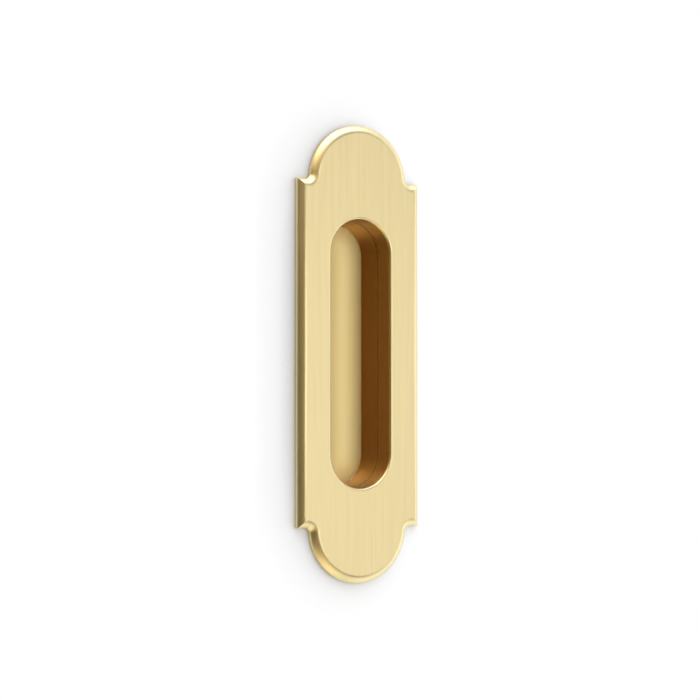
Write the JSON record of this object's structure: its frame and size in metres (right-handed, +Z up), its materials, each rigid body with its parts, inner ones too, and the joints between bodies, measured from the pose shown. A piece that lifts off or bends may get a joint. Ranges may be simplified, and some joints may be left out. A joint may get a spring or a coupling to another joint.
{
  "type": "pocket door pull",
  "caption": "Tall flush pull for a pocket door: an arched, bevelled brass plate with pointed shoulders over an oblong finger recess, fixed by concealed screws.",
  "frame": {"origin": "middle of the plate on the face of the door, halfway between the two fixing screws", "axes": "+X across the plate, +Y into the door and so out of the back of the plate, +Z up"},
  "size_m": [0.057, 0.0243, 0.184],
  "materials": {
    "plate_brass": "satin, brushed along the height of the plate",
    "cup_brass": "satin, brushed along the height of the recess",
    "screw_brass": "turned, plain"
  },
  "bodies": {
    "root": {"face_plate": "plate_brass", "recess_cup": "cup_brass", "fixing_screws": "screw_brass"}
  },
  "joints": []
}
